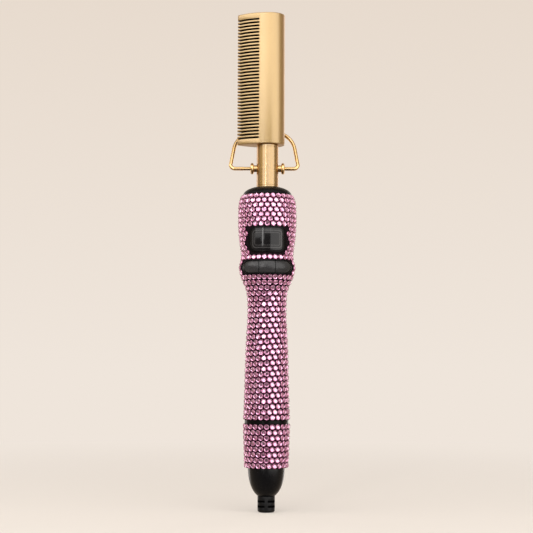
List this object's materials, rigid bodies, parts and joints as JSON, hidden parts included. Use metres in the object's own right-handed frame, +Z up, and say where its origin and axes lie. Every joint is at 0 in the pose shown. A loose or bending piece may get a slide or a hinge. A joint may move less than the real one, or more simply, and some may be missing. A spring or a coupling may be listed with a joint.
{
  "type": "electric hot comb",
  "caption": "Electric hot comb: gold comb head on a tube with a swinging wire stand, a waisted handle covered in pink stones, a small display, three keys and a swivel cord outlet.",
  "frame": {"origin": "on the handle's axis at its slimmest place, where the hand closes", "axes": "+Z up the handle to the comb head, -Y the face with the display and keys, -X the side the teeth point to"},
  "size_m": [0.0416, 0.0348, 0.2896],
  "materials": {
    "satin_gold": "satin gold plate",
    "polished_gold": "polished gold plate",
    "shell_black": "fine matte moulding",
    "satin_black": "satin moulding",
    "gloss_black": "gloss",
    "dark_lens": "smoked, clear gloss",
    "key_grey": "gloss",
    "pink_stone": "faceted, foil backed",
    "black_rubber": "satin",
    "ceramic": "matte",
    "contact_metal": "plain",
    "insulation": "film",
    "sensor_glass": "glass bead",
    "lead_sleeving": "woven sleeving",
    "fuse_body": "plain",
    "mica": "pressed sheet",
    "display_glass": "flat glass",
    "white_plastic": "plain",
    "circuit_board": "solder resist",
    "board_black": "plain",
    "steel": "plain",
    "lead_red": "insulated lead",
    "nylon": "plain",
    "spring_brass": "plain"
  },
  "bodies": {
    "handle": {"comb_head": "satin_gold", "heater_element": "ceramic", "heater_contacts": "contact_metal", "heater_sleeve": "insulation", "thermistor": "sensor_glass", "heater_leads": "lead_sleeving", "thermal_fuse": "fuse_body", "barrel_tube": "polished_gold", "tube_clamp": "mica", "left_eyelet": "polished_gold", "right_eyelet": "polished_gold", "nose_cap": "satin_black", "front_shell": "shell_black", "rear_shell": "shell_black", "display_bezel": "gloss_black", "display_lens": "dark_lens", "lcd_cell": "display_glass", "lcd_frame": "white_plastic", "main_board": "circuit_board", "board_parts": "board_black", "board_screws": "steel", "key_switches": "board_black", "key_surround": "gloss_black", "power_leads": "lead_red", "seam_ring": "gloss_black", "tail_collar": "shell_black", "tail_cap": "satin_black", "swivel_bush": "nylon", "brush_springs": "spring_brass", "front_stones": "pink_stone", "rear_stones": "pink_stone", "collar_stones": "pink_stone"},
    "stand": {"stand_bail": "polished_gold"},
    "minus_key": {"minus_key": "key_grey"},
    "power_key": {"power_key": "key_grey"},
    "plus_key": {"plus_key": "key_grey"},
    "cord_swivel": {"swivel_core": "nylon", "slip_rings": "spring_brass", "strain_relief": "black_rubber"}
  },
  "joints": [
    {"name": "stand_swing", "type": "hinge", "parent": "handle", "child": "stand", "pos_m": [0, 0, 0.0822], "axis": [-1, 0, 0], "range_deg": [0, 110]},
    {"name": "minus_press", "type": "slide", "parent": "handle", "child": "minus_key", "axis": [0, 1, 0], "range_m": [0, 0.0005], "stiffness_N_per_m": 1000},
    {"name": "power_press", "type": "slide", "parent": "handle", "child": "power_key", "axis": [0, 1, 0], "range_m": [0, 0.0005], "stiffness_N_per_m": 1000},
    {"name": "plus_press", "type": "slide", "parent": "handle", "child": "plus_key", "axis": [0, 1, 0], "range_m": [0, 0.0005], "stiffness_N_per_m": 1000},
    {"name": "cord_turn", "type": "hinge", "parent": "handle", "child": "cord_swivel", "pos_m": [0, 0, -0.107], "axis": [0, 0, 1], "continuous": true}
  ]
}
